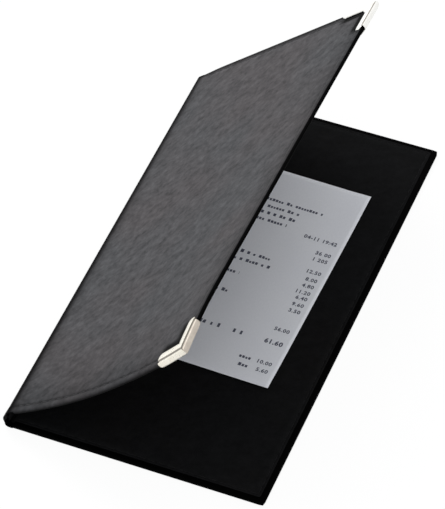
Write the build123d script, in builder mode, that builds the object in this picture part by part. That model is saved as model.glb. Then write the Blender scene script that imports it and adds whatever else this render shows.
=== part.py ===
"""A guest check presenter: two padded leatherette covers joined by a soft spine,
with metal corners on the front cover and a till receipt lying on the back cover.

Millimetres and degrees. The origin is the centre of the back cover's underside, which
lies on the table. +X points to the free edges, +Y along the spine, +Z up.
The back cover is flat. The front cover stands open, and it is bowed at its tail end
(low Y) and straight at its head end (high Y), as a flexed board is.
"""

from build123d import *
from collections import namedtuple
from math import cos, radians, sin
import os

os.makedirs("parts", exist_ok=True)

# ---------------------------------------------------------------- driving dimensions

# Overall
cover_length = 240.0  # along the spine
back_width = 130.0  # back cover, from its crease to its free edge
front_width = 125.5  # front cover, measured along its curve from its crease

# The layers of a cover, from the outer face inwards
skin_thickness = 0.6  # leatherette
foam_thickness = 0.4
board_thickness = 1.0  # greyboard
infill_thickness = 0.4  # card that fills the window inside the turned-in skin
lining_thickness = 0.4
glue_line = 0.1  # clearance left between two glued layers

# The edges of a cover
turn_in = 12.0  # width of skin folded over onto the inside
lining_margin = 2.0  # from the cover's edge to the lining's edge
joint_width = 4.0  # hinge groove, from the crease to the boards
stitch_inset = 3.5  # from the cover's edge to the stitch line
groove_width = 1.0
groove_depth = 0.3
inner_groove_depth = 0.2
thread_width = 0.5
thread_clearance = 0.03
stitch_pitch = 5.0
stitch_length = 4.0
seam_step = 0.05  # keeps the faces of joined flaps and crossed grooves out of one plane

# The spine
spine_width = 9.0  # from crease to crease
spine_angle = 82.5  # above the table, while the presenter stands open
spine_card_thickness = 0.8
spine_card_inset = 1.4  # from a crease to the card's long edge
spine_end_inset = 1.5  # from the skin's ends to the card's and the lining's
fold_clearance = 0.05  # round the folded bead at each crease

# How the front cover stands and is flexed
tail_angle = 44.0  # of the front cover's chord above the table
head_angle = 41.7
tail_bow = 7.1  # sagitta of the chord, towards the inside
head_bow = 0.0

# Metal corners
corner_arm = 18.0
corner_flange = 6.2
corner_metal = 0.4
corner_clearance = 0.3
corner_end_radius = 1.8
corner_edge_radius = 0.35

# Pockets inside the front cover
pocket_thickness = 0.5
pocket_clearance = 0.1
bill_pocket_height = 100.0
bill_pocket_margin = 8.0  # from the cover's edges
card_pocket_height = 58.0
card_pocket_width = 92.0

# The receipt
receipt_width = 80.0
receipt_length = 134.0
receipt_thickness = 0.15
receipt_turn = -1.3  # about +Z
receipt_right = 109.2  # of its middle right edge, from the back crease
receipt_tail = 64.1  # of its lower right corner, from the cover's tail end

# ---------------------------------------------------------------- places from the sizes

TAIL = -cover_length / 2
HEAD = cover_length / 2
board_top = skin_thickness + foam_thickness + board_thickness
turn_in_top = board_top + infill_thickness
cover_thickness = turn_in_top + lining_thickness

# A cover's shape at one end: its chord's angle, and its bow.
# A cover: its crease (x, z), its width, the side of the chord that its inside is on
# (+1 to the left of it, -1 to the right), and its two ends.
End = namedtuple("End", "y angle bow")
Cover = namedtuple("Cover", "crease width inside tail head")

back_crease = (-back_width / 2, skin_thickness)
front_crease = (
    back_crease[0] + spine_width * cos(radians(spine_angle)),
    back_crease[1] + spine_width * sin(radians(spine_angle)),
)
BACK = Cover(back_crease, back_width, 1, End(TAIL, 0, 0), End(HEAD, 0, 0))
FRONT = Cover(
    front_crease,
    front_width,
    -1,
    End(TAIL, tail_angle, tail_bow),
    End(HEAD, head_angle, head_bow),
)


# ---------------------------------------------------------------- sections of a cover


def heading(cover, end, along):
    """The direction of a cover's curve, in radians, at a distance along it."""
    turn = 8 * end.bow / cover.width
    return radians(end.angle) + cover.inside * turn * (0.5 - along / cover.width)


def section_point(cover, end, along, depth):
    """(x, z) of a point of a cover at one end. depth is measured from the outer face."""
    start = heading(cover, end, 0)
    here = heading(cover, end, along)
    chord = (start + here) / 2
    half_turn = (here - start) / 2
    reach = along if half_turn == 0 else along * sin(half_turn) / half_turn
    rise = cover.inside * (depth - skin_thickness)
    x = cover.crease[0] + reach * cos(chord) - rise * sin(here)
    z = cover.crease[1] + reach * sin(chord) + rise * cos(here)
    return x, z


def section_plane(y):
    """The XZ plane at y, seen from the tail end: its own x and y are X and Z."""
    return Plane.XZ.offset(-y)


def outline(cover, end, corners):
    """The closed outline through (along, depth) corners, which follows the cover's
    curve wherever two neighbouring corners are equally deep."""
    with BuildSketch(section_plane(end.y)) as profile:
        with BuildLine():
            for (a0, d0), (a1, d1) in zip(corners, corners[1:] + corners[:1]):
                first = section_point(cover, end, a0, d0)
                last = section_point(cover, end, a1, d1)
                if d0 == d1 and end.bow:
                    middle = section_point(cover, end, (a0 + a1) / 2, d0)
                    ThreePointArc(first, middle, last)
                else:
                    Line(first, last)
        make_face()
    return profile.sketch


def run(cover, corners, start=TAIL, stop=HEAD):
    """A solid whose outline runs along the cover, from tail to head or between two Ys."""
    with BuildPart() as piece:
        add(outline(cover, cover.tail, corners))
        add(outline(cover, cover.head, corners))
        loft(ruled=True)
        if start > TAIL or stop < HEAD:
            with Locations((0, (start + stop) / 2, 0)):
                reach = 4 * back_width
                Box(reach, stop - start, reach, mode=Mode.INTERSECT)
    return piece.part


def band(near, far, upper, lower):
    """The corners of a plain band: between two distances along and two depths."""
    return [(near, upper), (far, upper), (far, lower), (near, lower)]


# ---------------------------------------------------------------- the layers


def make_skin(cover):
    """Leatherette: the outer face, wrapped round three edges and folded in."""
    width = cover.width
    fold = skin_thickness + fold_clearance
    shell = [
        (fold, 0),
        (width, 0),
        (width, turn_in_top),
        (width - turn_in, turn_in_top),
        (width - turn_in, board_top + glue_line),
        (width - skin_thickness, board_top + glue_line),
        (width - skin_thickness, skin_thickness),
        (fold, skin_thickness),
    ]
    # The tail and head flaps end inside the shell's own wall, so their faces never meet its faces
    lap = skin_thickness / 2
    wall = band(joint_width, width - lap, lap, turn_in_top - seam_step / 2)
    flap_top = board_top + glue_line + seam_step
    flap = band(joint_width, width - turn_in / 2, flap_top, turn_in_top - seam_step)
    edge = width - stitch_inset
    half = groove_width / 2
    with BuildPart() as skin:
        add(run(cover, shell))
        add(run(cover, wall, TAIL, TAIL + skin_thickness))
        add(run(cover, wall, HEAD - skin_thickness, HEAD))
        add(run(cover, flap, TAIL, TAIL + turn_in))
        add(run(cover, flap, HEAD - turn_in, HEAD))
        groove = band(edge - half, edge + half, -groove_depth, groove_depth)
        first = TAIL + stitch_inset
        last = HEAD - stitch_inset
        add(run(cover, groove, first - half, last + half), mode=Mode.SUBTRACT)
        end_groove = band(joint_width, edge, -groove_depth, groove_depth - seam_step)
        for y in (first, last):
            add(run(cover, end_groove, y - half, y + half), mode=Mode.SUBTRACT)
    return skin.part


def make_layer(cover, top, thickness, inset):
    """A flat sheet inside the wrapped skin: foam, board or infill."""
    sheet = band(joint_width, cover.width - inset, top + glue_line, top + thickness)
    return run(cover, sheet, TAIL + inset, HEAD - inset)


def make_lining(cover):
    """The inner lining, which dips into the hinge groove beside the boards."""
    rim = cover.width - lining_margin
    drop = joint_width - glue_line
    low = skin_thickness + glue_line
    high = turn_in_top + glue_line
    corners = [
        (spine_card_inset, low),
        (drop, low),
        (drop, high),
        (rim, high),
        (rim, cover_thickness),
        (drop - lining_thickness, cover_thickness),
        (drop - lining_thickness, low + lining_thickness),
        (spine_card_inset, low + lining_thickness),
    ]
    half = groove_width / 2
    edge = cover.width - stitch_inset
    floor = cover_thickness - inner_groove_depth
    above = cover_thickness + inner_groove_depth
    with BuildPart() as lining:
        add(run(cover, corners, TAIL + lining_margin, HEAD - lining_margin))
        first = TAIL + stitch_inset
        last = HEAD - stitch_inset
        groove = band(edge - half, edge + half, floor, above)
        add(run(cover, groove, first - half, last + half), mode=Mode.SUBTRACT)
        end_groove = band(joint_width, edge, floor + seam_step, above)
        for y in (first, last):
            add(run(cover, end_groove, y - half, y + half), mode=Mode.SUBTRACT)
    return lining.part


def stitch_starts(low, high):
    """Where each stitch of an even row between two places begins."""
    count = int((high - low) // stitch_pitch)
    pitch = (high - low) / count
    gap = pitch * (1 - stitch_length / stitch_pitch)
    return [(low + gap / 2 + i * pitch, low - gap / 2 + (i + 1) * pitch) for i in range(count)]


def make_stitch(cover, start, stop, near, far, upper, lower):
    """One stitch: a straight bar between two Ys, two distances along and two depths."""
    with BuildPart() as stitch:
        for y in (start, stop):
            share = (y - TAIL) / cover_length
            corners = []
            for along, depth in band(near, far, upper, lower):
                tail_x, tail_z = section_point(cover, cover.tail, along, depth)
                head_x, head_z = section_point(cover, cover.head, along, depth)
                x = tail_x + share * (head_x - tail_x)
                z = tail_z + share * (head_z - tail_z)
                corners.append((x, z))
            with BuildSketch(section_plane(y)):
                with BuildLine():
                    Polyline(*corners, close=True)
                make_face()
        loft(ruled=True)
    return stitch.part


def make_thread(cover):
    """The stitches along three edges, laid in the grooves of both faces."""
    edge = cover.width - stitch_inset
    half = thread_width / 2
    first = TAIL + stitch_inset
    last = HEAD - stitch_inset
    outer = (thread_clearance, groove_depth - seam_step - thread_clearance)
    inner_floor = cover_thickness - inner_groove_depth
    inner = (inner_floor + seam_step + thread_clearance, cover_thickness - thread_clearance)
    stitches = []
    for depths in (outer, inner):
        for start, stop in stitch_starts(first, last):
            stitches.append(make_stitch(cover, start, stop, edge - half, edge + half, *depths))
        for y in (first, last):
            for near, far in stitch_starts(joint_width, edge):
                stitches.append(make_stitch(cover, y - half, y + half, near, far, *depths))
    with BuildPart() as thread:
        add(stitches)
    return thread.part


def make_cover(cover, name):
    """The six pieces that both covers are made of."""
    inner = skin_thickness + glue_line
    layers = {
        "skin": make_skin(cover),
        "foam": make_layer(cover, skin_thickness, foam_thickness, inner),
        "board": make_layer(cover, skin_thickness + foam_thickness, board_thickness, inner),
        "infill": make_layer(cover, board_top, infill_thickness, turn_in + glue_line),
        "lining": make_lining(cover),
        "thread": make_thread(cover),
    }
    return {f"{name}_{layer}": part for layer, part in layers.items()}


# ---------------------------------------------------------------- the spine

spine_plane = Plane(
    origin=(back_crease[0], 0, back_crease[1]),
    x_dir=(cos(radians(spine_angle)), 0, sin(radians(spine_angle))),
    z_dir=(0, 1, 0),
)
# Its own x runs from the back crease to the front crease, its own y to the inside, and it
# lies halfway between the tail and the head.


def make_spine():
    """The spine's three layers, straight between the creases, inside faces to +y."""
    inset = spine_card_inset
    card_face = glue_line + spine_card_thickness
    with BuildPart() as skin:
        with BuildSketch(spine_plane):
            with Locations((spine_width / 2, -skin_thickness / 2)):
                Rectangle(spine_width, skin_thickness)
            with Locations((0, 0), (spine_width, 0)):
                Circle(skin_thickness)
        extrude(amount=cover_length / 2, both=True)
    with BuildPart() as card:
        with BuildSketch(spine_plane):
            with Locations((spine_width / 2, glue_line + spine_card_thickness / 2)):
                Rectangle(spine_width - 2 * inset, spine_card_thickness)
        extrude(amount=cover_length / 2 - spine_end_inset, both=True)
    with BuildPart() as lining:
        with BuildSketch(spine_plane):
            with Locations((spine_width / 2, card_face + (glue_line + lining_thickness) / 2)):
                Rectangle(spine_width - 2 * inset, lining_thickness - glue_line)
        extrude(amount=cover_length / 2 - spine_end_inset, both=True)
    return {"spine_skin": skin.part, "spine_card": card.part, "spine_lining": lining.part}


# ---------------------------------------------------------------- metal corners


def make_corner(end, inward):
    """A folded metal corner. Its own x and y point out over the free edge and along the
    spine, and inward is the sign of y on which the cover lies."""
    tail_tip = section_point(FRONT, FRONT.tail, front_width, 0)
    head_tip = section_point(FRONT, FRONT.head, front_width, 0)
    tip = tail_tip if end is FRONT.tail else head_tip
    chord = heading(FRONT, end, front_width - corner_arm / 2)
    along = Vector(cos(chord), 0, sin(chord))
    free_edge = Vector(head_tip[0] - tail_tip[0], cover_length, head_tip[1] - tail_tip[1])
    face = Plane(origin=(tip[0], end.y, tip[1]), x_dir=along, z_dir=along.cross(free_edge))
    reach = corner_clearance + corner_metal
    long_end = (-corner_flange, corner_arm * inward)
    short_end = (-corner_arm, corner_flange * inward)
    with BuildPart() as corner:
        with BuildSketch(face.offset(reach)) as shape:
            with BuildLine():
                Polyline(
                    (reach, -reach * inward),
                    (reach, corner_arm * inward),
                    long_end,
                    (-corner_flange, corner_flange * inward),
                    short_end,
                    (-corner_arm, -reach * inward),
                    close=True,
                )
            make_face()
            for point in (long_end, short_end):
                fillet(shape.vertices().sort_by_distance(point)[0], radius=corner_end_radius)
        extrude(amount=-(cover_thickness + 2 * reach))
        out = Axis(face.origin, face.x_dir)
        away = Axis(face.origin, face.y_dir * -inward)
        outer_walls = [corner.faces().sort_by(axis)[-1] for axis in (out, away)]
        fillet(outer_walls[0].edges() + outer_walls[1].edges(), radius=corner_edge_radius)
        with BuildSketch(face.offset(corner_clearance)):
            with BuildLine():
                Polyline(
                    (corner_clearance, -corner_clearance * inward),
                    (corner_clearance, 2 * corner_arm * inward),
                    (-2 * corner_arm, 2 * corner_arm * inward),
                    (-2 * corner_arm, -corner_clearance * inward),
                    close=True,
                )
            make_face()
        extrude(amount=-(cover_thickness + 2 * corner_clearance), mode=Mode.SUBTRACT)
    return corner.part


# ---------------------------------------------------------------- pockets and receipt


def make_pocket(near, far, depth, height):
    """A flat pocket panel on the front cover's inside, open at its head end."""
    start = TAIL + bill_pocket_margin
    return run(FRONT, band(near, far, depth, depth + pocket_thickness), start, start + height)


bill_pocket_near = joint_width + bill_pocket_margin
bill_pocket_far = front_width - bill_pocket_margin
bill_pocket_depth = cover_thickness + pocket_clearance
card_pocket_depth = bill_pocket_depth + pocket_thickness + pocket_clearance
card_pocket_near = (bill_pocket_near + bill_pocket_far - card_pocket_width) / 2

with BuildPart() as receipt:
    with BuildSketch(Plane.XY.offset(cover_thickness)):
        middle_x = back_crease[0] + receipt_right - receipt_width / 2
        middle_y = TAIL + receipt_tail + receipt_length / 2
        with Locations((middle_x, middle_y)):
            Rectangle(receipt_width, receipt_length, rotation=receipt_turn)
    extrude(amount=receipt_thickness)


# ---------------------------------------------------------------- the assembly

pieces = {
    **make_cover(BACK, "back"),
    **make_spine(),
    **make_cover(FRONT, "front"),
    "tail_corner": make_corner(FRONT.tail, 1),
    "head_corner": make_corner(FRONT.head, -1),
    "bill_pocket": make_pocket(
        bill_pocket_near, bill_pocket_far, bill_pocket_depth, bill_pocket_height
    ),
    "card_pocket": make_pocket(
        card_pocket_near,
        card_pocket_near + card_pocket_width,
        card_pocket_depth,
        card_pocket_height,
    ),
    "receipt": receipt.part,
}

for name, piece in pieces.items():
    piece.label = name
    export_step(piece, f"parts/{name}.step")
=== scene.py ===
"""The looks of a guest check presenter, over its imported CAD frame.

Blender works in metres, and the shapes here are worked out in millimetres (MM) in the CAD's own
frame: +X to the free edges, +Y from the tail to the head of the spine, +Z up.
"""

import math
from collections import namedtuple

import bmesh
import bpy
from mathutils import Matrix, Vector, noise


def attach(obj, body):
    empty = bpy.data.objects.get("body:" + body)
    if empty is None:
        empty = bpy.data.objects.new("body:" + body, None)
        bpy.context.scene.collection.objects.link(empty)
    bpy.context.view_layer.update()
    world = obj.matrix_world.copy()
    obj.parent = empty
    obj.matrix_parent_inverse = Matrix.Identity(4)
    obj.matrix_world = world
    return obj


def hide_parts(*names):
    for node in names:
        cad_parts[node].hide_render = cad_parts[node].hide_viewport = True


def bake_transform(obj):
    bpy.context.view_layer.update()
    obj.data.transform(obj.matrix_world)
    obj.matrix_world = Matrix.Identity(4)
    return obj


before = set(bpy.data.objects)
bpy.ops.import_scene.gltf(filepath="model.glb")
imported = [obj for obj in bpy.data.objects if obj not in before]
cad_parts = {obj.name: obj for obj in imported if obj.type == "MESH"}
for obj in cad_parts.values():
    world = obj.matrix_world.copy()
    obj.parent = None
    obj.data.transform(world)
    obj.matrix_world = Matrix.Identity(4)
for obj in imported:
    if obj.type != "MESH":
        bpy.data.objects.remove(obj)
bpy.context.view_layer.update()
MM = 0.001

# ------------------------------------ sizes, as in the CAD

LENGTH = 240.0
TAIL = -LENGTH / 2
HEAD = LENGTH / 2
SKIN = 0.6
TURN_IN_TOP = 2.4
THICKNESS = 2.8
JOINT = 4.0
STITCH_INSET = 3.5
LINING_MARGIN = 2.0
SPINE_WIDTH = 9.0
SPINE_ANGLE = 82.5

End = namedtuple("End", "y angle bow")
Cover = namedtuple("Cover", "crease width inside tail head")

BACK_CREASE = (-65.0, SKIN)
SPINE_DIRECTION = Vector((math.cos(math.radians(SPINE_ANGLE)), math.sin(math.radians(SPINE_ANGLE))))
FRONT_CREASE = (
    BACK_CREASE[0] + SPINE_WIDTH * SPINE_DIRECTION[0],
    BACK_CREASE[1] + SPINE_WIDTH * SPINE_DIRECTION[1],
)
BACK = Cover(BACK_CREASE, 130.0, 1, End(TAIL, 0, 0), End(HEAD, 0, 0))
FRONT = Cover(FRONT_CREASE, 125.5, -1, End(TAIL, 44.0, 7.1), End(HEAD, 41.7, 0))


def heading(cover, end, along):
    turn = 8 * end.bow / cover.width
    return math.radians(end.angle) + cover.inside * turn * (0.5 - along / cover.width)


def section_point(cover, end, along, depth):
    start = heading(cover, end, 0)
    here = heading(cover, end, along)
    half_turn = (here - start) / 2
    reach = along if half_turn == 0 else along * math.sin(half_turn) / half_turn
    rise = cover.inside * (depth - SKIN)
    x = cover.crease[0] + reach * math.cos((start + here) / 2) - rise * math.sin(here)
    z = cover.crease[1] + reach * math.sin((start + here) / 2) + rise * math.cos(here)
    return Vector((x, z))


BEND = 2.4  # how far the front cover's free tail corner gives way inwards
BEND_ALONG = 54.0  # how far from the free edge the give begins
BEND_ACROSS = 42.0  # how far from the tail edge the give begins


def give(cover, along, y):
    """The inward give of a place near the front cover's free tail corner."""
    if cover is not FRONT:
        return 0.0
    near_free = max(0.0, 1 - (cover.width - along) / BEND_ALONG)
    near_tail = max(0.0, 1 - (y - TAIL) / BEND_ACROSS)
    return BEND * near_free**1.6 * near_tail**1.8


def on_cover(cover, along, y, depth):
    """A point of a cover: along from the crease, y, and depth from the outer face."""
    depth += give(cover, along, y)
    share = (y - TAIL) / LENGTH
    tail = section_point(cover, cover.tail, along, depth)
    head = section_point(cover, cover.head, along, depth)
    x, z = tail.lerp(head, share)
    return Vector((x, y, z))


# ------------------------------------ small helpers


def smooth(value, low, high):
    t = min(1.0, max(0.0, (value - low) / (high - low)))
    return t * t * (3 - 2 * t)


def bell(value, centre, width):
    return math.exp(-(((value - centre) / width) ** 2))


def wobble(u, v, scale, seed):
    return noise.noise(Vector((u / scale, v / scale, seed)))


def spaced(marks, step):
    """The marks, with even places added between any two that lie further apart than step."""
    places = [marks[0]]
    for low, high in zip(marks, marks[1:]):
        count = max(1, math.ceil((high - low) / step))
        places += [low + (high - low) * i / count for i in range(1, count + 1)]
    return places


def mesh_object(name, vertices, faces, materials, indices=None, uvs=None, smooth_faces=True,
                shades=None):
    """A mesh from places in millimetres. shades holds each vertex's painted shade, as a share of
    its full colour.
    """
    mesh = bpy.data.meshes.new(name)
    mesh.from_pydata([Vector(v) * MM for v in vertices], [], faces)
    if shades:
        mesh.attributes.new("shade", "FLOAT", "POINT").data.foreach_set("value", shades)
    for material in materials:
        mesh.materials.append(material)
    if indices:
        mesh.polygons.foreach_set("material_index", indices)
    if uvs:
        layer = mesh.uv_layers.new(name="UVMap")
        flat = [c * MM for face in uvs for uv in face for c in uv]
        layer.data.foreach_set("uv", flat)
    mesh.polygons.foreach_set("use_smooth", [smooth_faces] * len(mesh.polygons))
    mesh.update()
    tidy = bmesh.new()
    tidy.from_mesh(mesh)
    bmesh.ops.recalc_face_normals(tidy, faces=tidy.faces)
    tidy.to_mesh(mesh)
    tidy.free()
    piece = bpy.data.objects.new(name, mesh)
    bpy.context.scene.collection.objects.link(piece)
    return piece


def panel(name, place, us, vs, upper, lower, materials, edge=1.2, corner=0.0, rings=8,
          split=None, seam=None, flat_start=False, power=2.0, shade=None):
    """A closed slab with soft edges. place(u, v, depth) puts a flat place into the frame, and
    upper and lower give its two faces' depths at (u, v). The faces' edges are us and vs at
    their ends, and the slab's rim stands out by edge from them. Past the share split(u, v) of
    the rim, counted from the upper face, the second material starts; v is given as 0 except
    along the rim's two ends. seam, (place, depth), presses a line into the rim. shade(u, v, q)
    darkens the colour, with q = 0 on the upper face and 1 on the lower one."""
    nu, nv = len(us), len(vs)
    low_u = us[0] - (0 if flat_start else edge)
    limits = (low_u, us[-1] + edge, vs[0] - edge, vs[-1] + edge)

    def rounded(u, v):
        if not corner:
            return u, v
        for side_u, sign_u in ((limits[0], -1), (limits[1], 1)):
            if flat_start and sign_u < 0:
                continue
            for side_v, sign_v in ((limits[2], -1), (limits[3], 1)):
                cu = side_u - sign_u * corner
                cv = side_v - sign_v * corner
                du = (u - cu) * sign_u / corner
                dv = (v - cv) * sign_v / corner
                if du > 0 and dv > 0:
                    u = cu + sign_u * corner * du * math.sqrt(max(0, 1 - dv * dv / 2))
                    v = cv + sign_v * corner * dv * math.sqrt(max(0, 1 - du * du / 2))
                    return u, v
        return u, v

    vertices, flat, shades = [], [], []

    def put(u, v, depth, uv, q):
        ru, rv = rounded(u, v)
        vertices.append(place(ru, rv, depth))
        flat.append(uv)
        shades.append(shade(u, v, q) if shade else 1.0)
        return len(vertices) - 1

    top = [[put(u, v, upper(u, v), (u, v), 0) for v in vs] for u in us]
    shift = 600.0  # the lower face's pattern is taken from another place
    bottom = [[put(u, v, lower(u, v), (u + shift, v), 1) for v in vs] for u in us]
    around = [(i, 0) for i in range(nu)] + [(nu - 1, j) for j in range(1, nv)]
    around += [(i, nv - 1) for i in range(nu - 2, -1, -1)] + [(0, j) for j in range(nv - 2, 0, -1)]
    loops = [[top[i][j] for i, j in around]]
    inner_uv = {}
    for r in range(1, rings):
        q = (1 - math.cos(math.pi * r / rings)) / 2
        out = (1 - abs(2 * q - 1) ** power) ** (1 / power)
        if seam:
            out -= seam[1] * bell(q, seam[0], 0.07)
        loop = []
        for i, j in around:
            su = 1 if i == nu - 1 else (-1 if i == 0 and not flat_start else 0)
            sv = 1 if j == nv - 1 else (-1 if j == 0 else 0)
            u = us[i] + su * edge * out
            v = vs[j] + sv * edge * out
            high, deep = upper(us[i], vs[j]), lower(us[i], vs[j])
            run = abs(deep - high) * 1.3
            uv = (us[i] + su * run * q, vs[j] + sv * run * q)
            k = put(u, v, high + (deep - high) * q, uv, q)
            inner_uv[k] = (us[i] + shift + su * run * (1 - q), vs[j] + sv * run * (1 - q))
            loop.append(k)
        loops.append(loop)
    loops.append([bottom[i][j] for i, j in around])
    faces, indices, uvs = [], [], []

    def face(corners, index, inner=False):
        faces.append(corners)
        indices.append(index)
        uvs.append([inner_uv.get(k, flat[k]) if inner else flat[k] for k in corners])

    for i in range(nu - 1):
        for j in range(nv - 1):
            face((top[i][j], top[i + 1][j], top[i + 1][j + 1], top[i][j + 1]), 0)
            face((bottom[i][j], bottom[i][j + 1], bottom[i + 1][j + 1], bottom[i + 1][j]), 1, True)
    for r, (first, second) in enumerate(zip(loops, loops[1:])):
        q = (1 - math.cos(math.pi * (r + 0.5) / rings)) / 2
        inner = r >= rings / 2
        for k in range(len(around)):
            n = (k + 1) % len(around)
            (i, j), (_, other) = around[k], around[n]
            share = split(us[i], vs[j] if j in (0, nv - 1) and j == other else 0.0) if split else 0
            face((first[k], second[k], second[n], first[n]), 0 if q < share else 1, inner)
    return mesh_object(name, vertices, faces, materials, indices, uvs, shades=shades)


# ------------------------------------ materials


class Graph:
    """A material's nodes, with the Principled shader made ready."""

    def __init__(self, name, colour, roughness, **settings):
        self.material = bpy.data.materials.new(name)
        self.material.use_nodes = True
        self.tree = self.material.node_tree
        self.shader = self.tree.nodes["Principled BSDF"]
        self.shader.inputs["Base Color"].default_value = (*colour, 1)
        self.shader.inputs["Roughness"].default_value = roughness
        for key, value in settings.items():
            self.shader.inputs[key.replace("_", " ")].default_value = value

    def add(self, kind, inputs=None, **settings):
        node = self.tree.nodes.new(kind)
        for key, value in settings.items():
            setattr(node, key, value)
        for key, value in (inputs or {}).items():
            self.feed(node.inputs[key], value)
        return node

    def feed(self, socket, value):
        if isinstance(value, bpy.types.NodeSocket):
            self.tree.links.new(value, socket)
        else:
            socket.default_value = value

    def set(self, name, value):
        self.feed(self.shader.inputs[name], value)

    def math(self, operation, a, b):
        return self.add("ShaderNodeMath", {0: a, 1: b}, operation=operation).outputs[0]

    def mapped(self, source, scale=(1, 1, 1)):
        vector = self.add("ShaderNodeTexCoord").outputs[source]
        return self.add("ShaderNodeMapping", {"Vector": vector, "Scale": scale}).outputs[0]

    def stretched(self, source, length, turn):
        """Coordinates in which a pattern is drawn out by length, along turn."""
        vector = self.add("ShaderNodeTexCoord").outputs[source]
        inputs = {"Vector": vector, "Scale": (length, 1, 1), "Rotation": (0, 0, turn)}
        return self.add("ShaderNodeMapping", inputs, vector_type="TEXTURE").outputs[0]

    def noise(self, vector, scale, detail=3.0, roughness=0.55):
        inputs = {"Vector": vector, "Scale": scale, "Detail": detail, "Roughness": roughness}
        return self.add("ShaderNodeTexNoise", inputs).outputs[0]

    def cells(self, vector, scale):
        inputs = {"Vector": vector, "Scale": scale}
        return self.add("ShaderNodeTexVoronoi", inputs).outputs["Distance"]

    def ramp(self, value, low, high, start=0.3, stop=0.7):
        node = self.add("ShaderNodeValToRGB", {"Fac": value})
        node.color_ramp.elements[0].position = start
        node.color_ramp.elements[0].color = (*low, 1)
        node.color_ramp.elements[1].position = stop
        node.color_ramp.elements[1].color = (*high, 1)
        return node.outputs["Color"]

    def spread(self, value, low, high):
        inputs = {0: value, 1: 0.3, 2: 0.7, 3: low, 4: high}
        return self.add("ShaderNodeMapRange", inputs).outputs[0]

    def multiply(self, a, b):
        node = self.add("ShaderNodeMix", data_type="RGBA", blend_type="MULTIPLY")
        for socket, value in ((0, 1.0), (6, a), (7, b)):
            self.feed(node.inputs[socket], value)
        return node.outputs[2]

    def bump(self, height, distance, strength=1.0, normal=None):
        inputs = {"Height": height, "Distance": distance, "Strength": strength}
        if normal:
            inputs["Normal"] = normal
        return self.add("ShaderNodeBump", inputs).outputs[0]


def leatherette(name, dark, light, warm, cool, gloss):
    """Mottled, brushed-looking leatherette: fine diagonal streaks over soft clouds, and a grain."""
    g = Graph(name, light, 0.55, Specular_IOR_Level=gloss)
    flat = g.mapped("UV")
    streaks = g.noise(g.stretched("UV", 1.9, math.radians(33)), 230, detail=4, roughness=0.6)
    clouds = g.noise(flat, 420, detail=3, roughness=0.55)
    patches = g.noise(flat, 125, detail=2)
    broad = g.noise(flat, 17, detail=1)
    mixed = g.math("ADD", g.math("MULTIPLY", streaks, 0.42), g.math("MULTIPLY", clouds, 0.35))
    mixed = g.math("ADD", mixed, g.math("MULTIPLY", patches, 0.23))
    tone = g.ramp(mixed, dark, light, 0.375, 0.635)
    tint = g.ramp(broad, warm, cool, 0.38, 0.62)
    # The mesh's shade attribute multiplies painted shade into the colour
    shade = g.add("ShaderNodeAttribute", attribute_name="shade").outputs["Fac"]
    g.set("Base Color", g.multiply(g.multiply(tone, tint), shade))
    fine = g.cells(flat, 1500)
    soft = g.noise(flat, 1900, detail=3)
    height = g.math("ADD", g.math("MULTIPLY", fine, 0.55), g.math("MULTIPLY", soft, 0.6))
    first = g.bump(height, 0.00010, 0.7)
    g.set("Normal", g.bump(streaks, 0.00020, 0.3, first))
    g.set("Roughness", g.spread(soft, 0.46, 0.62))
    return g.material


def plain(name, colour, roughness, scale=900, vary=0.12, depth=0.00005, **more):
    """A fibrous or cast material: slight colour variation, and a fine relief."""
    g = Graph(name, colour, roughness, **more)
    at = g.mapped("Object")
    fine = g.noise(at, scale, detail=4)
    low = tuple(c * (1 - vary) for c in colour)
    high = tuple(min(1, c * (1 + vary)) for c in colour)
    g.set("Base Color", g.ramp(fine, low, high))
    g.set("Normal", g.bump(fine, depth, 0.6))
    return g.material


GREY = leatherette("grey_leatherette", (0.050, 0.0493, 0.0505), (0.107, 0.1052, 0.1074),
                   (1.03, 0.985, 1.0), (0.98, 1.0, 1.03), gloss=0.02)
BLACK = leatherette("black_leatherette", (0.0054, 0.0054, 0.0056), (0.0084, 0.0084, 0.0088),
                    (1.0, 0.98, 0.98), (0.98, 1.0, 1.02), gloss=0.012)
THREAD = plain("sewing_thread", (0.035, 0.035, 0.037), 0.8, scale=2500, vary=0.3, depth=0.00008)
BLACK_THREAD = plain("black_thread", (0.006, 0.006, 0.0065), 0.8, scale=2500, vary=0.3,
                     Specular_IOR_Level=0.1)
BOARD = plain("solid_greyboard", (0.25, 0.23, 0.20), 0.9, scale=700)
BLACK_CARD = plain("black_card", (0.008, 0.008, 0.0085), 0.9, scale=700, Specular_IOR_Level=0.1)
FOAM = plain("foam_sheet", (0.55, 0.55, 0.53), 0.95, scale=1600, vary=0.08)


def plated(name, dark, light, metallic, low, high):
    """Pale gold plating: cloudy, lightly brushed, and only partly mirror-like."""
    g = Graph(name, light, low, Metallic=metallic)
    at = g.mapped("Object")
    patches = g.noise(at, 160, detail=3)
    g.set("Base Color", g.ramp(patches, dark, light))
    g.set("Roughness", g.spread(g.noise(at, 900), low, high))
    g.set("Normal", g.bump(g.noise(at, 420), 0.00002, 0.25))
    return g.material


def till_paper():
    g = Graph("till_paper", (0.74, 0.75, 0.79), 0.7, Specular_IOR_Level=0.2)
    at = g.mapped("UV")
    fibres = g.noise(g.mapped("UV", (1, 0.4, 1)), 1500, detail=4)
    clouds = g.noise(at, 30, detail=2)
    base = g.ramp(fibres, (0.735, 0.745, 0.785), (0.772, 0.782, 0.82))
    cloudy = g.ramp(clouds, (0.97, 0.97, 0.98), (1, 1, 1))
    g.set("Base Color", g.multiply(base, cloudy))
    g.set("Normal", g.bump(fibres, 0.00003, 0.5))
    return g.material


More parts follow.
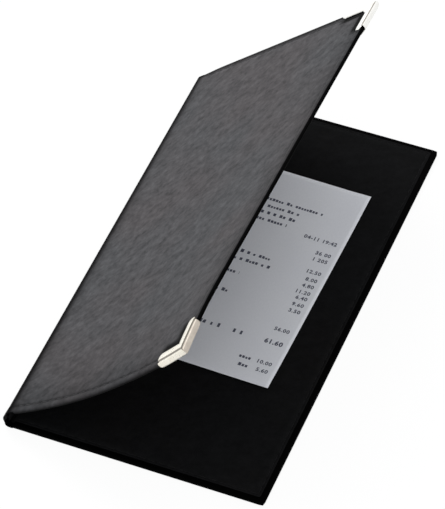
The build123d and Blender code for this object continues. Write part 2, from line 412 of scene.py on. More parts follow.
GOLD = plated("pale_gold", (0.88, 0.83, 0.72), (0.96, 0.93, 0.83), 0.55, 0.24, 0.40)
# Painted light: a darker satin copy of the plating stands in for shade, a whitened copy for a
# highlight, and a dim copy for soft shade in the grooves
SATIN_GOLD_IN_SHADE = plated("satin_gold_in_shade", (0.52, 0.46, 0.39), (0.66, 0.60, 0.52), 0.40, 0.38, 0.52)
GOLD_SOFT_SHADE = plated("gold_in_soft_shade", (0.22, 0.20, 0.17), (0.30, 0.27, 0.23), 0.30, 0.36, 0.50)
GOLD_HIGHLIGHT = plated("gold_painted_highlight", (0.94, 0.93, 0.89), (0.98, 0.97, 0.94), 0.55, 0.24, 0.40)
GOLD_SHADE = plated("gold_in_shade", (0.11, 0.096, 0.070), (0.17, 0.150, 0.115), 0.10, 0.5, 0.6)
PAPER = till_paper()
INK = plain("thermal_print", (0.07, 0.075, 0.11), 0.8, scale=1800, vary=0.4)

# ------------------------------------ outer leatherette

EDGE = 1.1  # how far the rounded rim stands out from a face
SOFT_EDGE = 0.85  # how far the back cover's padded edges swell out past its board
NOSE_THICKNESS = 1.58  # of leatherette and card together, round the spine
NOSE_BULGE = 0.5  # how far the rounded spine stands out
NOSE_BULGE_TAIL = 0.7  # how much more it stands out at its tail end
NOSE_RADIUS_BACK = 2.2
NOSE_RADIUS_FRONT = 1.5
HINGE_THICKNESS = 0.66
HINGE_END = 3.62  # where the leatherette steps down from its turned-in edge to the hinge
HINGE_STEP_END = 3.95
HEAD_PULL = 0.9  # how far the front cover's head edge draws in beside the spine


def corner_path(first, corner, last, radius):
    """A rounded corner: gives the point, and the direction, at a distance from first."""
    into = (corner - first).normalized()
    out = (last - corner).normalized()
    turn = math.atan2(into.x * out.y - into.y * out.x, into.dot(out))
    tangent = radius * math.tan(abs(turn) / 2)
    straight = (corner - first).length - tangent
    arc = radius * abs(turn)
    sign = 1 if turn > 0 else -1
    total = straight + arc + (last - corner).length - tangent

    def at(distance):
        if distance <= straight:
            return first + into * distance, into
        if distance <= straight + arc:
            angle = (distance - straight) / radius * sign
            side = Vector((-into.y, into.x)) * sign
            centre = first + into * straight + side * radius
            arm = first + into * straight - centre
            c, s = math.cos(angle), math.sin(angle)
            arm = Vector((arm.x * c - arm.y * s, arm.x * s + arm.y * c))
            direction = Vector((into.x * c - into.y * s, into.x * s + into.y * c))
            return centre + arm, direction
        return last - out * (total - distance), out

    return at, total


def crossing(a, along_a, b, along_b):
    """Where the line through a and the line through b meet."""
    cross = along_a.x * along_b.y - along_a.y * along_b.x
    t = ((b - a).x * along_b.y - (b - a).y * along_b.x) / cross
    return a + along_a * t


SPINE_OUT = Vector((-SPINE_DIRECTION.y, SPINE_DIRECTION.x))
SPINE_MIDDLE = Vector(BACK_CREASE) + SPINE_DIRECTION * SPINE_WIDTH / 2 + SPINE_OUT * SKIN
NOSE_SPAN = JOINT + SPINE_WIDTH / 2


def nose(cover, share, y, depth):
    """A point of the hinge and half the spine: share runs from the spine's middle to the joint."""
    last = on_cover(cover, JOINT, y, 0)
    last = Vector((last.x, last.z))
    before = on_cover(cover, JOINT - 0.5, y, 0)
    direction = (Vector((before.x, before.z)) - last).normalized()
    corner = crossing(SPINE_MIDDLE, SPINE_DIRECTION, last, direction)
    radius = NOSE_RADIUS_BACK if cover is BACK else NOSE_RADIUS_FRONT
    at, total = corner_path(SPINE_MIDDLE, corner, last, radius)
    distance = share * total
    point, along = at(distance)
    # The inside lies to the left of the way round from the spine's middle to the back cover
    inward = Vector((-along.y, along.x)) * (1 if cover is BACK else -1)
    swell = NOSE_BULGE + NOSE_BULGE_TAIL * smooth(y, TAIL + 16, TAIL + 1)
    bulge = swell * (0.5 + 0.5 * math.cos(math.pi * min(1, distance / 3.6)))
    point = point - inward * bulge + inward * depth
    if cover is FRONT and y < 0:
        y -= SOFT_EDGE * smooth(y, TAIL + 6, TAIL) * smooth(distance, 8.4, 5.0)
    return Vector((point.x, y, point.y))


def leather_place(cover):
    def place(u, v, depth):
        if cover is FRONT:
            v -= HEAD_PULL * smooth(v, HEAD - 6, HEAD) * smooth(u, 18, 2)
        if u >= JOINT:
            return on_cover(cover, u, v, depth)
        return nose(cover, (u - JOINT + NOSE_SPAN) / NOSE_SPAN, v, depth)

    return place


def edge_distance(cover, u, v):
    return min(cover.width - u, v - TAIL, HEAD - v)


def leather_depth(cover, puff):
    def depth(u, v):
        near = edge_distance(cover, u, v)
        ends = min(v - TAIL, HEAD - v)
        # The seam is pulled down hard along the tail and head, and hardly at the free edge
        pull = 0.34 if ends < cover.width - u else 0.14
        groove = pull * bell(near, STITCH_INSET, 0.75) * smooth(u, 4, 9)
        crown = puff * smooth(near, 3.8, 12) * smooth(u, 2, 14)
        ridge = 0.12 * bell(near, 1.9, 0.7) * smooth(u, 3, 8)
        waves = puff * 0.35 * wobble(u, v, 21, 1.7) * smooth(near, 4, 10) * smooth(u, 4, 12)
        return groove - crown - ridge - waves

    return depth


def leather_bottom(u, v):
    spine = NOSE_THICKNESS + NOSE_BULGE * smooth(-u, 1.0, 4.5)
    across = spine + (HINGE_THICKNESS - spine) * smooth(u, -1.9, -1.1)
    return across + (TURN_IN_TOP - across) * smooth(u, HINGE_END, HINGE_STEP_END)


# Distances from a cover's edge at which its mesh has lines, closest at the seam
EDGE_MARKS = [EDGE, 1.5, 1.9, 2.3, 2.65, 2.9, 3.15, 3.35, 3.5, 3.65, 3.85, 4.1, 4.4]
EDGE_MARKS += [4.8, 5.5, 6.3, 7.0, 7.7, 8.4, 9.1, 10, 12, 15, 18, 20, 22]

# The metal corners
FLANGE = 6.2  # the flanges' width
ARM = 18.5  # the arms' length
ARM_RADIUS = 1.8  # at the arms' ends
HEAD_FLANGE = 0.52  # the head corner's share of the full flange width
METAL = 0.35  # the sheet's thickness


def fade(value, *steps):
    """A smooth run through (value, shade) steps."""
    for (low, first), (high, last) in zip(steps, steps[1:]):
        if value < high:
            return first + (last - first) * smooth(value, low, high)
    return steps[-1][1]


def painted_shade(cover):
    """Painted shade on the outer leatherette: it darkens towards its rims, its spine, its seam and
    the metal.
    """

    def shade(u, v, q):
        tail, head, free = v - TAIL, HEAD - v, cover.width - u
        # Painted shade: darker towards the tail, the free edge, the head rim and the spine, in the
        # seam's groove, and down the rims
        tone = fade(tail, (3, 0.66), (7, 0.70), (14, 0.84), (24, 0.95), (36, 1.0))
        tone *= fade(free, (0, 0.50), (1.5, 0.62), (4, 0.72), (8, 0.84), (16, 1.0))
        tone *= fade(head, (1.1, 0.06), (2.2, 0.34), (3.4, 1.0), (9, 1.0))
        tone *= fade(u, (1.6, 0.05), (2.8, 0.34), (4.6, 0.74), (8, 0.94), (14, 1.0))
        seam = 0.50 if tail < min(head, free) else 0.06
        tone *= 1 - seam * bell(min(tail, head, free), STITCH_INSET, 0.85)
        tone *= fade(q, (0, 1.0), (0.12, 0.92), (0.28, 0.70), (0.46, 0.36), (0.64, 0.10), (1, 0.10))
        if cover is FRONT and q == 0:
            end = min(tail, head)
            # Painted shadow: the leatherette is dark beside the metal
            flange = FLANGE if tail < head else FLANGE * HEAD_FLANGE
            beside = 1 - fade(min(free, end) - flange, (3.2, 0.04), (4.8, 1.0))
            tone *= 1 - beside * smooth(max(free, end), ARM + 3.0, ARM)
        return max(tone, 0.04)

    return shade


def make_leather(cover, name, puff, over, end_share):
    """A cover's leatherette, with its half of the spine's. Its edges stand out by over, and the
    outer colour wraps the tail and head rims by end_share, and the free edge's hardly at all."""
    free_share = 0.12
    near = [-SPINE_WIDTH / 2, -4, -3.2, -2.4, -1.9, -1.7, -1.5, -1.3, -1.1, -0.7, -0.3, 0.1, 0.5]
    near += [0.9, 1.4, 2, 2.8, 3.4, HINGE_END, 3.75, 3.85, HINGE_STEP_END]
    near += [4.1, 4.6, 5.2, 6, 7.5, 9.5]
    marks = [EDGE - over] + EDGE_MARKS[1:]
    us = spaced(near + [cover.width - m for m in reversed(marks)], 4.0)
    vs = spaced([TAIL + m for m in marks] + [HEAD - m for m in reversed(marks)], 4.5)
    # The outer leatherette's colour carries painted shade
    return panel(name, leather_place(cover), us, vs, leather_depth(cover, puff), leather_bottom,
                 [GREY, BLACK], edge=EDGE, corner=1.8, rings=14,
                 split=lambda u, v: end_share if v else free_share, seam=(0.3, 0.06),
                 flat_start=True, power=2.2, shade=painted_shade(cover))


front_leather = make_leather(FRONT, "front_leather", 0.16, 0.0, 0.95)
back_leather = make_leather(BACK, "back_leather", 0.0, SOFT_EDGE, 0.12)
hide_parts("front_skin", "spine_skin")
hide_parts("back_skin")


# The leatherette rolls over from the spine to the front cover round the corner of the two
hinge_start = section_point(FRONT, FRONT.tail, JOINT, 0)
hinge_direction = section_point(FRONT, FRONT.tail, JOINT - 1, 0) - hinge_start
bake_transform(front_leather)
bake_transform(back_leather)

# ------------------------------------ inner linings


def lining_faces(cover):
    """The depths of a lining's hidden face and of the face that is seen."""
    far = cover.width - LINING_MARGIN

    def edge_of(u, v):
        return min(far - u, v - TAIL - LINING_MARGIN, HEAD - LINING_MARGIN - v)

    def hidden(u, v):
        return 0.72 + (TURN_IN_TOP + 0.05 - 0.72) * smooth(u, HINGE_END, HINGE_STEP_END)

    def seen(u, v):
        base = 1.1 + (THICKNESS - 1.1) * smooth(u, 3.38, HINGE_END)
        near = edge_of(u, v)
        stitched = -0.18 * bell(near, STITCH_INSET - LINING_MARGIN, 0.35) * smooth(u, 4, 7)
        swell = 0.22 * bell(near, 3.4, 1.5) * smooth(u, 4, 12)
        slope = -0.12 * smooth(near, 4, 9) * smooth(u, 4, 12)
        return base + stitched + swell + slope

    return hidden, seen


def make_lining(cover, name, body, node):
    hidden, seen = lining_faces(cover)
    rim = 0.25
    # Distances from the lining's edge, and then from the crease, at which its mesh has lines
    marks = [rim, 0.6, 0.95, 1.2, 1.35, 1.5, 1.65, 1.8, 2.1, 2.6, 3.2, 4, 5, 6.5, 9]
    near = [1.4 + rim, 2.2, 3.0, 3.3, 3.38, 3.46, 3.54, HINGE_END, 3.7, 3.8, HINGE_STEP_END]
    near += [4.3, 5, 6.5, 9]
    far = cover.width - LINING_MARGIN
    us = spaced(near + [far - m for m in reversed(marks)], 5.0)
    start, stop = TAIL + LINING_MARGIN, HEAD - LINING_MARGIN
    vs = spaced([start + m for m in marks] + [stop - m for m in reversed(marks)], 6.0)
    piece = panel(name, lambda u, v, d: on_cover(cover, u, v, d), us, vs, hidden, seen,
                  [BLACK, BLACK], edge=rim, corner=1.2, rings=6)
    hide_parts(node)
    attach(piece, body)
    return piece


make_lining(FRONT, "front_inner_lining", "front_cover", "front_lining")
back_lining = make_lining(BACK, "back_inner_lining", "back_cover", "back_lining")


def on_spine(u, v, depth):
    """u runs up the spine from the back crease, and depth is counted from the outer face."""
    point = Vector(BACK_CREASE) + SPINE_DIRECTION * u - SPINE_OUT * (depth - SKIN)
    return Vector((point.x, v, point.y))


spine_lining = panel(
    "spine_inner_lining", on_spine, spaced([1.6, 2.2, 6.8, 7.4], 0.8),
    spaced([TAIL + 1.9, TAIL + 3.5, HEAD - 3.5, HEAD - 1.9], 5.0),
    lambda u, v: 1.6, lambda u, v: 1.86 + 0.1 * bell(u, 4.5, 2), [BLACK, BLACK], edge=0.2,
    corner=0.6, rings=6)
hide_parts("spine_lining")
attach(spine_lining, "spine")

# ------------------------------------ layers inside the front cover


def make_inner(name, node, top, bottom, inset, material):
    """A flat layer between the depths top and bottom, inset from the cover's edges."""
    rim = 0.3
    far = FRONT.width - inset
    us = spaced([JOINT + 0.5, JOINT + 1.5, far - 1.5, far - rim], 6.0)
    start, stop = TAIL + inset, HEAD - inset
    vs = spaced([start + rim, start + 1.5, stop - 1.5, stop - rim], 6.0)
    piece = panel(name, lambda u, v, d: on_cover(FRONT, u, v, d), us, vs, lambda u, v: top,
                  lambda u, v: bottom, [material, material], edge=rim, corner=0.5, rings=4)
    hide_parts(node)
    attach(piece, "front_cover")


make_inner("front_foam_sheet", "front_foam", 0.72, 1.0, 1.3, FOAM)
make_inner("front_board_sheet", "front_board", 1.1, 2.0, 1.3, BOARD)
make_inner("front_infill_sheet", "front_infill", 2.1, 2.36, 14.0, BOARD)

# ------------------------------------ stitching


def stitch_row(low, high, pitch=5.0, length=4.0):
    """The start and stop of each stitch of a seam from low to high."""
    count = int((high - low) // pitch)
    step = (high - low) / count
    gap = step * (1 - length / pitch)
    return [(low + gap / 2 + i * step, low - gap / 2 + (i + 1) * step) for i in range(count)]


def add_stitch(vertices, faces, place, start, stop, depth, half=0.24, height=0.13):
    """One stitch from start to stop, both (u, v), pulled down at its ends."""
    first = len(vertices)
    a, b = Vector(start), Vector(stop)
    along = (b - a).normalized()
    across = Vector((-along.y, along.x))
    ring, stations = 8, 7
    for s in range(stations):
        t = s / (stations - 1)
        middle = a.lerp(b, t)
        full = math.sin(math.pi * (0.08 + 0.84 * t)) ** 0.45
        sink = 0.12 * (2 * t - 1) ** 6
        for r in range(ring):
            angle = 2 * math.pi * r / ring
            out = middle + across * half * full * math.cos(angle)
            vertices.append(place(out.x, out.y, depth(sink + height * full * math.sin(angle))))
    for s in range(stations - 1):
        for r in range(ring):
            n = (r + 1) % ring
            k = first + s * ring
            faces.append((k + r, k + n, k + ring + n, k + ring + r))
    faces.append(tuple(first + r for r in range(ring)))
    faces.append(tuple(first + (stations - 1) * ring + r for r in reversed(range(ring))))


def make_stitches(cover, name, body, node):
    vertices, faces = [], []

    def place(u, v, depth):
        return on_cover(cover, u, v, depth)

    far = cover.width - STITCH_INSET
    first, last = TAIL + STITCH_INSET, HEAD - STITCH_INSET
    # The stitches under the metal corners don't show
    hidden = ARM - STITCH_INSET - 3 if cover is FRONT else -1
    for depth in (lambda d: 0.24 + d, lambda d: THICKNESS - 0.06 - d):
        for start, stop in stitch_row(first, last):
            if min(start - first, last - stop) > hidden:
                add_stitch(vertices, faces, place, (far, start), (far, stop), depth)
        for v in (first, last):
            for start, stop in stitch_row(JOINT, far):
                if far - stop > hidden:
                    add_stitch(vertices, faces, place, (start, v), (stop, v), depth)
    outside = len(faces) // 2  # both sides have the same number of stitches
    indices = [0] * outside + [1] * (len(faces) - outside)
    piece = mesh_object(name, vertices, faces, [THREAD, BLACK_THREAD], indices)
    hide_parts(node)
    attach(piece, body)


make_stitches(FRONT, "front_stitches", "front_cover", "front_thread")
make_stitches(BACK, "back_stitches", "back_cover", "back_thread")

# ------------------------------------ pockets inside the front cover


POCKET_START = 8.0  # from the tail edge to the pockets
POCKET_SEAM = 2.2  # from a pocket's edge to its stitches
POCKET_HEM = 7.4  # from its open edge to the hem's stitches


def make_pocket(name, node, near, far, depth, height):
    """A flat pocket with a turned hem along its open edge and stitching along the others."""
    start = TAIL + POCKET_START
    stop = start + height
    rim = 0.22

    def outer(u, v):
        return depth + 0.02

    def inner(u, v):
        side = min(u - near, far - u, v - start)
        hem = 0.16 * smooth(v, stop - 8.6, stop - 8.2)
        sewn = -0.13 * bell(side, POCKET_SEAM, 0.35) - 0.13 * bell(v, stop - POCKET_HEM, 0.35)
        loose = 0.35 * smooth(side, 6, 30) * smooth(v, stop - 40, stop)
        return depth + 0.5 + hem + sewn + loose

    marks = [rim, 0.8, 1.6, 1.95, POCKET_SEAM, 2.45, 2.8, 3.6, 6]
    us = spaced([near + m for m in marks] + [far - m for m in reversed(marks)], 5.0)
    hem_marks = [8.7, 8.4, 8.1, 7.8, 7.6, POCKET_HEM, 7.2, 6.9, 4, 1, rim]
    vs = spaced([start + m for m in marks] + [stop - m for m in hem_marks], 5.0)
    piece = panel(name, lambda u, v, d: on_cover(FRONT, u, v, d), us, vs, outer, inner,
                  [BLACK, BLACK], edge=rim, corner=1.5, rings=6)
    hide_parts(node)
    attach(piece, "front_cover")
    vertices, faces = [], []

    def place(u, v, d):
        return on_cover(FRONT, u, v, d)

    def thread_depth(d):
        return depth + 0.47 - d

    def sew(first, last, depth_at):
        add_stitch(vertices, faces, place, first, last, depth_at, 0.18, 0.1)

    left, right = near + POCKET_SEAM, far - POCKET_SEAM
    foot, hem = start + POCKET_SEAM, stop - POCKET_HEM
    pitch, length = 3.4, 2.7
    for u in (left, right):
        for low, high in stitch_row(foot, stop - 1.5, pitch, length):
            sew((u, low), (u, high), thread_depth)
    for low, high in stitch_row(left, right, pitch, length):
        sew((low, foot), (high, foot), thread_depth)
    for low, high in stitch_row(left, right, pitch, length):
        here = inner((low + high) / 2, hem) + 0.08
        sew((low, hem), (high, hem), lambda d, h=here: h - d)
    seams = mesh_object(name + "_stitches", vertices, faces, [BLACK_THREAD])
    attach(seams, "front_cover")


POCKET_NEAR, POCKET_FAR = 12.0, 117.5
CARD_POCKET_WIDTH = 92.0
CARD_NEAR = (POCKET_NEAR + POCKET_FAR - CARD_POCKET_WIDTH) / 2
CARD_FAR = CARD_NEAR + CARD_POCKET_WIDTH
make_pocket("front_bill_pocket", "bill_pocket", POCKET_NEAR, POCKET_FAR, 2.9, 100.0)
make_pocket("front_card_pocket", "card_pocket", CARD_NEAR, CARD_FAR, 3.5, 58.0)

# ------------------------------------ metal corners


# Pale gold, a satin copy darkened as painted shade, the groove's painted shade, a whitened copy as
# a painted highlight, and a softer painted shade
PLATINGS = [GOLD, SATIN_GOLD_IN_SHADE, GOLD_SHADE, GOLD_HIGHLIGHT, GOLD_SOFT_SHADE]
POLISHED, SATIN_SHADED, GROOVE, HIGHLIGHT, SOFT_SHADE = range(len(PLATINGS))


def corner_place(end, inward):
    """(inset from the free edge, inset from the cover's end, depth) to the frame."""
    narrow = 1.0 if end is FRONT.tail else HEAD_FLANGE

    def place(inset_x, inset_y, depth):
        if min(inset_x, inset_y) > 0:
            if inset_x < inset_y:
                inset_x *= narrow
            else:
                inset_y *= narrow
        return on_cover(FRONT, FRONT.width - inset_x, end.y + inset_y * inward, depth)

    return place


def make_corner(name, node, end, inward):
    """A folded corner: two arms that meet at a mitre, each a channel over the cover's edge.

    Each arm has a round bead on its outer flange, a groove beside the bead, a flat strip to
    the edge, a plain rim, and a flange inside, given as (inset, depth, plating)."""
    place = corner_place(end, inward)
    bead = [(6.2, 0.10, SATIN_SHADED), (6.18, -0.18, SATIN_SHADED), (6.0, -0.38, POLISHED)]
    bead += [(5.5, -0.58, POLISHED), (4.6, -0.76, POLISHED), (3.5, -0.84, POLISHED)]
    bead += [(2.5, -0.80, POLISHED)]
    groove = [(1.8, -0.66, GROOVE), (1.4, -0.46, GROOVE), (1.1, -0.30, GROOVE)]
    groove += [(0.8, -0.28, GROOVE), (0.55, -0.38, GROOVE)]
    strip = [(0.3, -0.50, SATIN_SHADED), (-0.05, -0.58, SATIN_SHADED), (-0.5, -0.58, SATIN_SHADED)]
    rim = [(-0.9, -0.42, SATIN_SHADED), (-1.14, -0.12, SATIN_SHADED), (-1.2, 0.4, SATIN_SHADED), (-1.18, 1.0, SATIN_SHADED)]
    rim += [(-1.08, 1.6, SATIN_SHADED), (-0.84, 2.15, SATIN_SHADED), (-0.38, 2.6, SATIN_SHADED)]
    inside = [(0.3, 2.95, SATIN_SHADED), (1.1, 3.15, SATIN_SHADED), (2.5, 3.26, SATIN_SHADED), (4.2, 3.26, SATIN_SHADED)]
    inside += [(5.4, 3.20, SATIN_SHADED), (6.0, 3.10, SATIN_SHADED), (FLANGE, 2.90, SATIN_SHADED)]
    section = bead + groove + strip + rim + inside
    outer = len(bead + groove + strip)
    vertices, faces, indices = [], [], []
    long_strip = ARM - 1.0
    short_strip = ARM + 0.3 if end is FRONT.tail else ARM - 3.4
    bead_end = ARM + 1.6

    def arm_end(inset, strip_end):
        step = inset - (FLANGE - ARM_RADIUS)
        end_at = strip_end + (bead_end - strip_end) * smooth(inset, 0.7, 1.6)
        if step > 0:
            end_at -= ARM_RADIUS - math.sqrt(max(0.0, ARM_RADIUS**2 - step**2))
        return end_at

    stations = [0, 0.02, 0.05, 0.08, 0.15, 0.3, 0.5, 0.7, 0.82, 0.9, 0.95, 0.98, 1.0]
    path = [-s for s in reversed(stations[1:])] + stations
    grid = []
    for w in path:
        row = []
        for inset, depth, _ in section:
            stop = arm_end(inset, long_strip if w < 0 else short_strip)
            reach = inset + (stop - inset) * abs(w)
            # The sheet dips along the mitre, and is pressed down at the arms' ends
            sink = 0.12 * bell(w, 0, 0.03) * smooth(inset, -0.6, 0.4)
            sink += 0.24 * smooth(abs(w), 0.93, 1.0) * smooth(inset, -0.9, 0.6)
            depth += sink * (1 if depth < THICKNESS / 2 else -1)
            tight = 0.12 * smooth(abs(w), 0.94, 1.0) * smooth(-inset, 0.2, 0.7)
            tight += 0.16 * bell(w, 0, 0.02) * smooth(inset, 0.0, -0.5)
            if w <= 0:
                point = place(inset + tight, reach, depth)
            else:
                point = place(reach, inset + tight, depth)
            vertices.append(point)
            row.append(len(vertices) - 1)
        grid.append(row)
    half = (len(stations) - 1) * (len(section) - 1)
    for first, second in zip(grid, grid[1:]):
        for k in range(len(section) - 1):
            long_arm = len(indices) < half
            mitre = abs(len(indices) + 0.5 - half) < len(section) - 1
            inset, _, plating = section[k]
            # Painted light: the head corner is whitened as a painted highlight, with a softer
            # painted shade along its long arm's strip, and the tail corner's mitre takes the
            # groove's painted shade
            if end is FRONT.head:
                plating = SOFT_SHADE if long_arm and k < outer and abs(inset) < 0.6 else HIGHLIGHT
            elif mitre and inset < 1.3 and k < outer:
                plating = GROOVE
            # Painted light: the short arm's band takes the bright plating and its groove the softer
            # painted shade
            elif plating == SATIN_SHADED and not long_arm:
                plating = POLISHED  # the short arm's band is the brighter one
            elif plating == GROOVE and not long_arm:
                plating = SOFT_SHADE
            faces.append((first[k], first[k + 1], second[k + 1], second[k]))
            indices.append(plating)
    piece = mesh_object(name, vertices, faces, PLATINGS, indices)
    # Its normals have to point out of the cover before the sheet gets its thickness inwards
    middle = sum((Vector(v) for v in vertices), Vector()) / len(vertices) * MM
    mesh = piece.data
    outward = sum(p.area * p.normal.dot(p.center - middle) for p in mesh.polygons)
    if outward < 0:
        mesh.flip_normals()
    thick = piece.modifiers.new("sheet", "SOLIDIFY")
    thick.thickness = METAL * MM
    thick.offset = -1
    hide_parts(node)
    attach(piece, "front_cover")


make_corner("front_tail_corner", "tail_corner", FRONT.tail, 1)
make_corner("front_head_corner", "head_corner", FRONT.head, -1)

# ------------------------------------ receipt

SLIP_WIDTH, SLIP_LENGTH = 80.0, 134.0
SLIP_RIGHT = 109.2  # from the back crease to its right edge
SLIP_TAIL = 64.1  # from the back cover's tail edge to its own
SLIP_TURN = math.radians(-1.3)
SLIP_MIDDLE = Vector((BACK_CREASE[0] + SLIP_RIGHT - SLIP_WIDTH / 2,
                      TAIL + SLIP_TAIL + SLIP_LENGTH / 2))
SLIP_LIFT = 0.42  # above the lining's level, to clear the stitches where it slides over them
SLIP_THICKNESS = 0.1
PRINT_LIFT = 0.03  # above the paper


def slip_height(u, v):
    """The paper's rise above the lining: its ends and corners lift slightly."""
    ends = 0.45 * smooth(v, 30, 0) ** 2 + 0.5 * smooth(v, SLIP_LENGTH - 34, SLIP_LENGTH) ** 2
    side = 0.35 * smooth(u, SLIP_WIDTH - 16, SLIP_WIDTH) ** 2
    side *= 0.4 + 0.6 * smooth(v, 20, 120)
    return THICKNESS + SLIP_LIFT + ends + side + 0.05 * wobble(u, v, 24, 4)


def slip_point(u, v, lift=0.0):
    """u from the slip's left edge, v from its tail edge."""
    x, y = u - SLIP_WIDTH / 2, v - SLIP_LENGTH / 2
    c, s = math.cos(SLIP_TURN), math.sin(SLIP_TURN)
    return Vector((SLIP_MIDDLE.x + x * c - y * s, SLIP_MIDDLE.y + x * s + y * c,
                   slip_height(u, v) + lift))


def make_slip():
    us = spaced([0, SLIP_WIDTH], 2.0)
    vs = spaced([0, SLIP_LENGTH], 2.5)
    vertices = [slip_point(u, v) for u in us for v in vs]
    nv = len(vs)
    faces, uvs = [], []
    for i in range(len(us) - 1):
        for j in range(nv - 1):
            k = i * nv + j
            faces.append((k, k + nv, k + nv + 1, k + 1))
            around = ((i, j), (i + 1, j), (i + 1, j + 1), (i, j + 1))
            uvs.append([(us[a], vs[b]) for a, b in around])
    piece = mesh_object("till_receipt", vertices, faces, [PAPER], uvs=uvs)
    if piece.data.polygons[0].normal.z < 0:
        piece.data.flip_normals()
    thick = piece.modifiers.new("paper", "SOLIDIFY")
    thick.thickness = SLIP_THICKNESS * MM
    thick.offset = -1
    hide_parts("receipt")
    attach(piece, "receipt")


make_slip()


def print_digits(text, right, below, size, bold=0.0):
    """Plain numerals, ending at right and standing on a line that far below the slip's top."""
    curve = bpy.data.curves.new("digits", "FONT")
    curve.body = text
    curve.size = size * MM
    curve.align_x = "RIGHT"
    curve.space_character = 1.12
    curve.offset = bold * MM
    curve.resolution_u = 2
    carrier = bpy.data.objects.new("digits", curve)
    bpy.context.scene.collection.objects.link(carrier)
    bpy.context.view_layer.update()
    graph = bpy.context.evaluated_depsgraph_get()
    mesh = bpy.data.meshes.new_from_object(carrier.evaluated_get(graph))
    points = [(v.co.x / MM, v.co.y / MM) for v in mesh.vertices]
    faces = [tuple(p.vertices) for p in mesh.polygons]
    bpy.data.objects.remove(carrier)
    bpy.data.meshes.remove(mesh)
    placed = [slip_point(right + x, SLIP_LENGTH - below + y, PRINT_LIFT) for x, y in points]
    return placed, faces


def print_words(left, right, below, height, seed):
    """A greeked line: blocks the size of letters, in groups as long as words."""
    vertices, faces = [], []
    u = left
    step = 0
    while u < right - 0.6:
        share = abs(noise.noise(Vector((seed * 3.1, step * 1.7, 0.4)))) * 2
        if share > 0.72 or step % 8 == 7:
            u += 1.5
        width = min(right - u, 0.95 + 0.5 * share)
        rise = height * (0.8 + 0.5 * share)
        v = SLIP_LENGTH - below
        k = len(vertices)
        for a, b in ((u, v), (u + width, v), (u + width, v + rise), (u, v + rise)):
            vertices.append(slip_point(a, b, PRINT_LIFT))
        faces.append((k, k + 1, k + 2, k + 3))
        u += width + 0.42
        step += 1
    return vertices, faces


PRICES_END = 76.2  # from the slip's left edge
ITEMS_START = 9.5
COUNTS_END = 7.0


def make_print():
    """Plain numerals and greeked words, each row so far below the slip's top."""
    vertices, faces = [], []

    def join(part):
        base = len(vertices)
        vertices.extend(part[0])
        faces.extend(tuple(base + k for k in f) for f in part[1])

    def digits(text, below, right=PRICES_END, size=3.2, bold=0.1):
        join(print_digits(text, right, below, size, bold))

    def words(left, right, below, seed, height=1.5):
        join(print_words(left, right, below, height, seed))

    heading = ((20.9, 18, 62), (25.5, 20, 52), (30.1, 19, 51.2), (34.7, 24, 48.2))
    for row, (below, left, right) in enumerate(heading):
        words(left, right, below, row + 1)
    digits("19:42", 37.5)
    digits("04-11", 37.5, right=67.0)
    digits("36 00", 45.7)
    digits("1 205", 50.0)
    items = ((58.4, "12.50", 49.5), (63.5, "8.00", 52), (67.8, "4.80", 30), (72.4, "11.20", 38.7),
             (76.2, "6.40", 27), (80.8, "9.60", 31), (85.2, "3.50", 38.2))
    for row, (below, price, right) in enumerate(items):
        digits(price, below)
        digits(str(1 + row % 3), below, right=COUNTS_END)
        words(ITEMS_START, right, below, 10 + row)
    words(ITEMS_START, 24, 98.7, 31)
    digits("56.00", 98.7)
    total_row = 107.6
    words(ITEMS_START, 35.7, total_row, 33, height=1.9)
    digits("61.60", total_row, size=3.8, bold=0.16)
    for left in (35, 38.6, 42.2, 50.5, 54.1):
        words(left, left + 1.9, total_row, 51 + left, height=2.3)
    for below, text, row in ((120.9, "10.00", 41), (126.0, "5.60", 42)):
        words(59.5, 66, below, row)
        digits(text, below)
    piece = mesh_object("receipt_print", vertices, faces, [INK], smooth_faces=False)
    for polygon in piece.data.polygons:
        if polygon.normal.z < 0:
            polygon.flip()
    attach(piece, "receipt")


make_print()

# ------------------------------------ CAD nodes that stay

for node, material in (
    ("back_foam", FOAM), ("back_board", BOARD), ("back_infill", BOARD), ("spine_card", BLACK_CARD),
):
    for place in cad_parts[node].material_slots:
        place.material = material

# ------------------------------------ floor, light and camera

scene = bpy.context.scene
scene.view_settings.view_transform = "Standard"


def seen_rays(tree):
    """1 for the rays that see the background: from the camera, a gloss or something clear."""
    rays = tree.nodes.new("ShaderNodeLightPath")
    found = rays.outputs["Is Camera Ray"]
    for kind in ("Is Glossy Ray", "Is Transmission Ray"):
        either = tree.nodes.new("ShaderNodeMath")
        either.operation = "MAXIMUM"
        tree.links.new(found, either.inputs[0])
        tree.links.new(rays.outputs[kind], either.inputs[1])
        found = either.outputs[0]
    return found


FLOOR_GLOW = 0.90  # how far the floor is white of itself, the rest being lit and keeping the shadow


def make_floor():
    size = 6000.0
    corners = [(-size, -size, 0), (size, -size, 0), (size, size, 0), (-size, size, 0)]
    floor = mesh_object("floor", corners, [(0, 1, 2, 3)], [], smooth_faces=False)
    if floor.data.polygons[0].normal.z < 0:
        floor.data.flip_normals()
    material = bpy.data.materials.new("pale_floor")
    material.use_nodes = True
    nodes, links = material.node_tree.nodes, material.node_tree.links
    shader = nodes["Principled BSDF"]
    shader.inputs["Base Color"].default_value = (0.86, 0.86, 0.86, 1)
    shader.inputs["Roughness"].default_value = 0.9
    shader.inputs["Specular IOR Level"].default_value = 0.0
    glow = nodes.new("ShaderNodeEmission")
    glow.inputs["Strength"].default_value = 1.025
    part = nodes.new("ShaderNodeMath")
    part.operation = "MULTIPLY"
    part.inputs[1].default_value = FLOOR_GLOW
    links.new(seen_rays(material.node_tree), part.inputs[0])
    mix = nodes.new("ShaderNodeMixShader")
    links.new(part.outputs[0], mix.inputs[0])
    links.new(shader.outputs[0], mix.inputs[1])
    links.new(glow.outputs[0], mix.inputs[2])
    links.new(mix.outputs[0], nodes["Material Output"].inputs["Surface"])
    floor.data.materials.append(material)


make_floor()


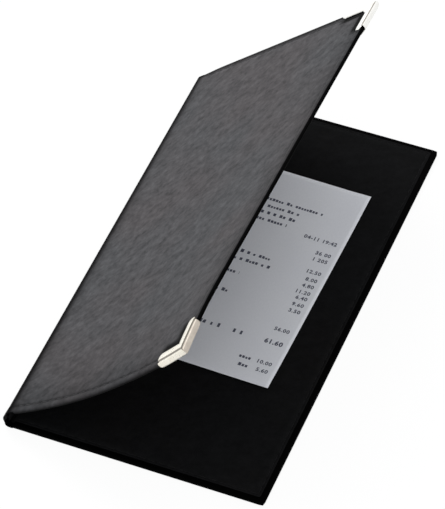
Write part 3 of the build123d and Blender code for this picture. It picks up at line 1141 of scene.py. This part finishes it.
def make_world(strength):
    world = bpy.data.worlds.new("studio")
    scene.world = world
    world.use_nodes = True
    nodes, links = world.node_tree.nodes, world.node_tree.links
    lit = nodes["Background"]
    lit.inputs["Color"].default_value = (0.98, 0.99, 1.0, 1)
    lit.inputs["Strength"].default_value = strength
    white = nodes.new("ShaderNodeBackground")
    white.inputs["Color"].default_value = (1, 1, 1, 1)
    mix = nodes.new("ShaderNodeMixShader")
    links.new(seen_rays(world.node_tree), mix.inputs[0])
    links.new(lit.outputs[0], mix.inputs[1])
    links.new(white.outputs[0], mix.inputs[2])
    links.new(mix.outputs[0], nodes["World Output"].inputs["Surface"])


make_world(0.88)


def make_lamp(name, position, target, size, watts):
    lamp = bpy.data.lights.new(name, "AREA")
    lamp.shape = "SQUARE"
    lamp.size = size
    lamp.energy = watts
    holder = bpy.data.objects.new(name, lamp)
    scene.collection.objects.link(holder)
    holder.location = position
    aim = (Vector(target) - Vector(position)).normalized()
    holder.rotation_mode = "QUATERNION"
    holder.rotation_quaternion = aim.to_track_quat("-Z", "Y")


make_lamp("key", (-0.7, 0.55, 0.9), (0, 0.03, 0.03), 0.5, 5.5)


FOCAL_LENGTH = 3250  # in pixels of the photograph
IMAGE_HEIGHT = 509
SENSOR = 36.0


def make_camera():
    azimuth, elevation, roll = math.radians(22.65), math.radians(48.08), math.radians(-0.927)
    aside, above, distance = 1.232, -18.43, 1586.48
    back = Vector((math.sin(azimuth) * math.cos(elevation),
                   -math.cos(azimuth) * math.cos(elevation), math.sin(elevation)))
    level = Vector((math.cos(azimuth), math.sin(azimuth), 0))
    upright = back.cross(level)
    right = level * math.cos(roll) + upright * math.sin(roll)
    up = upright * math.cos(roll) - level * math.sin(roll)
    target = Vector((0, -5, 0))
    data = bpy.data.cameras.new("camera")
    data.sensor_width = SENSOR
    data.lens = SENSOR * FOCAL_LENGTH / IMAGE_HEIGHT
    camera = bpy.data.objects.new("camera", data)
    scene.collection.objects.link(camera)
    place = (target - right * aside - up * above + back * distance) * MM
    camera.matrix_world = Matrix((
        (right.x, up.x, back.x, place.x),
        (right.y, up.y, back.y, place.y),
        (right.z, up.z, back.z, place.z),
        (0, 0, 0, 1),
    ))
    data.clip_start, data.clip_end = 0.01, 50
    scene.camera = camera


make_camera()
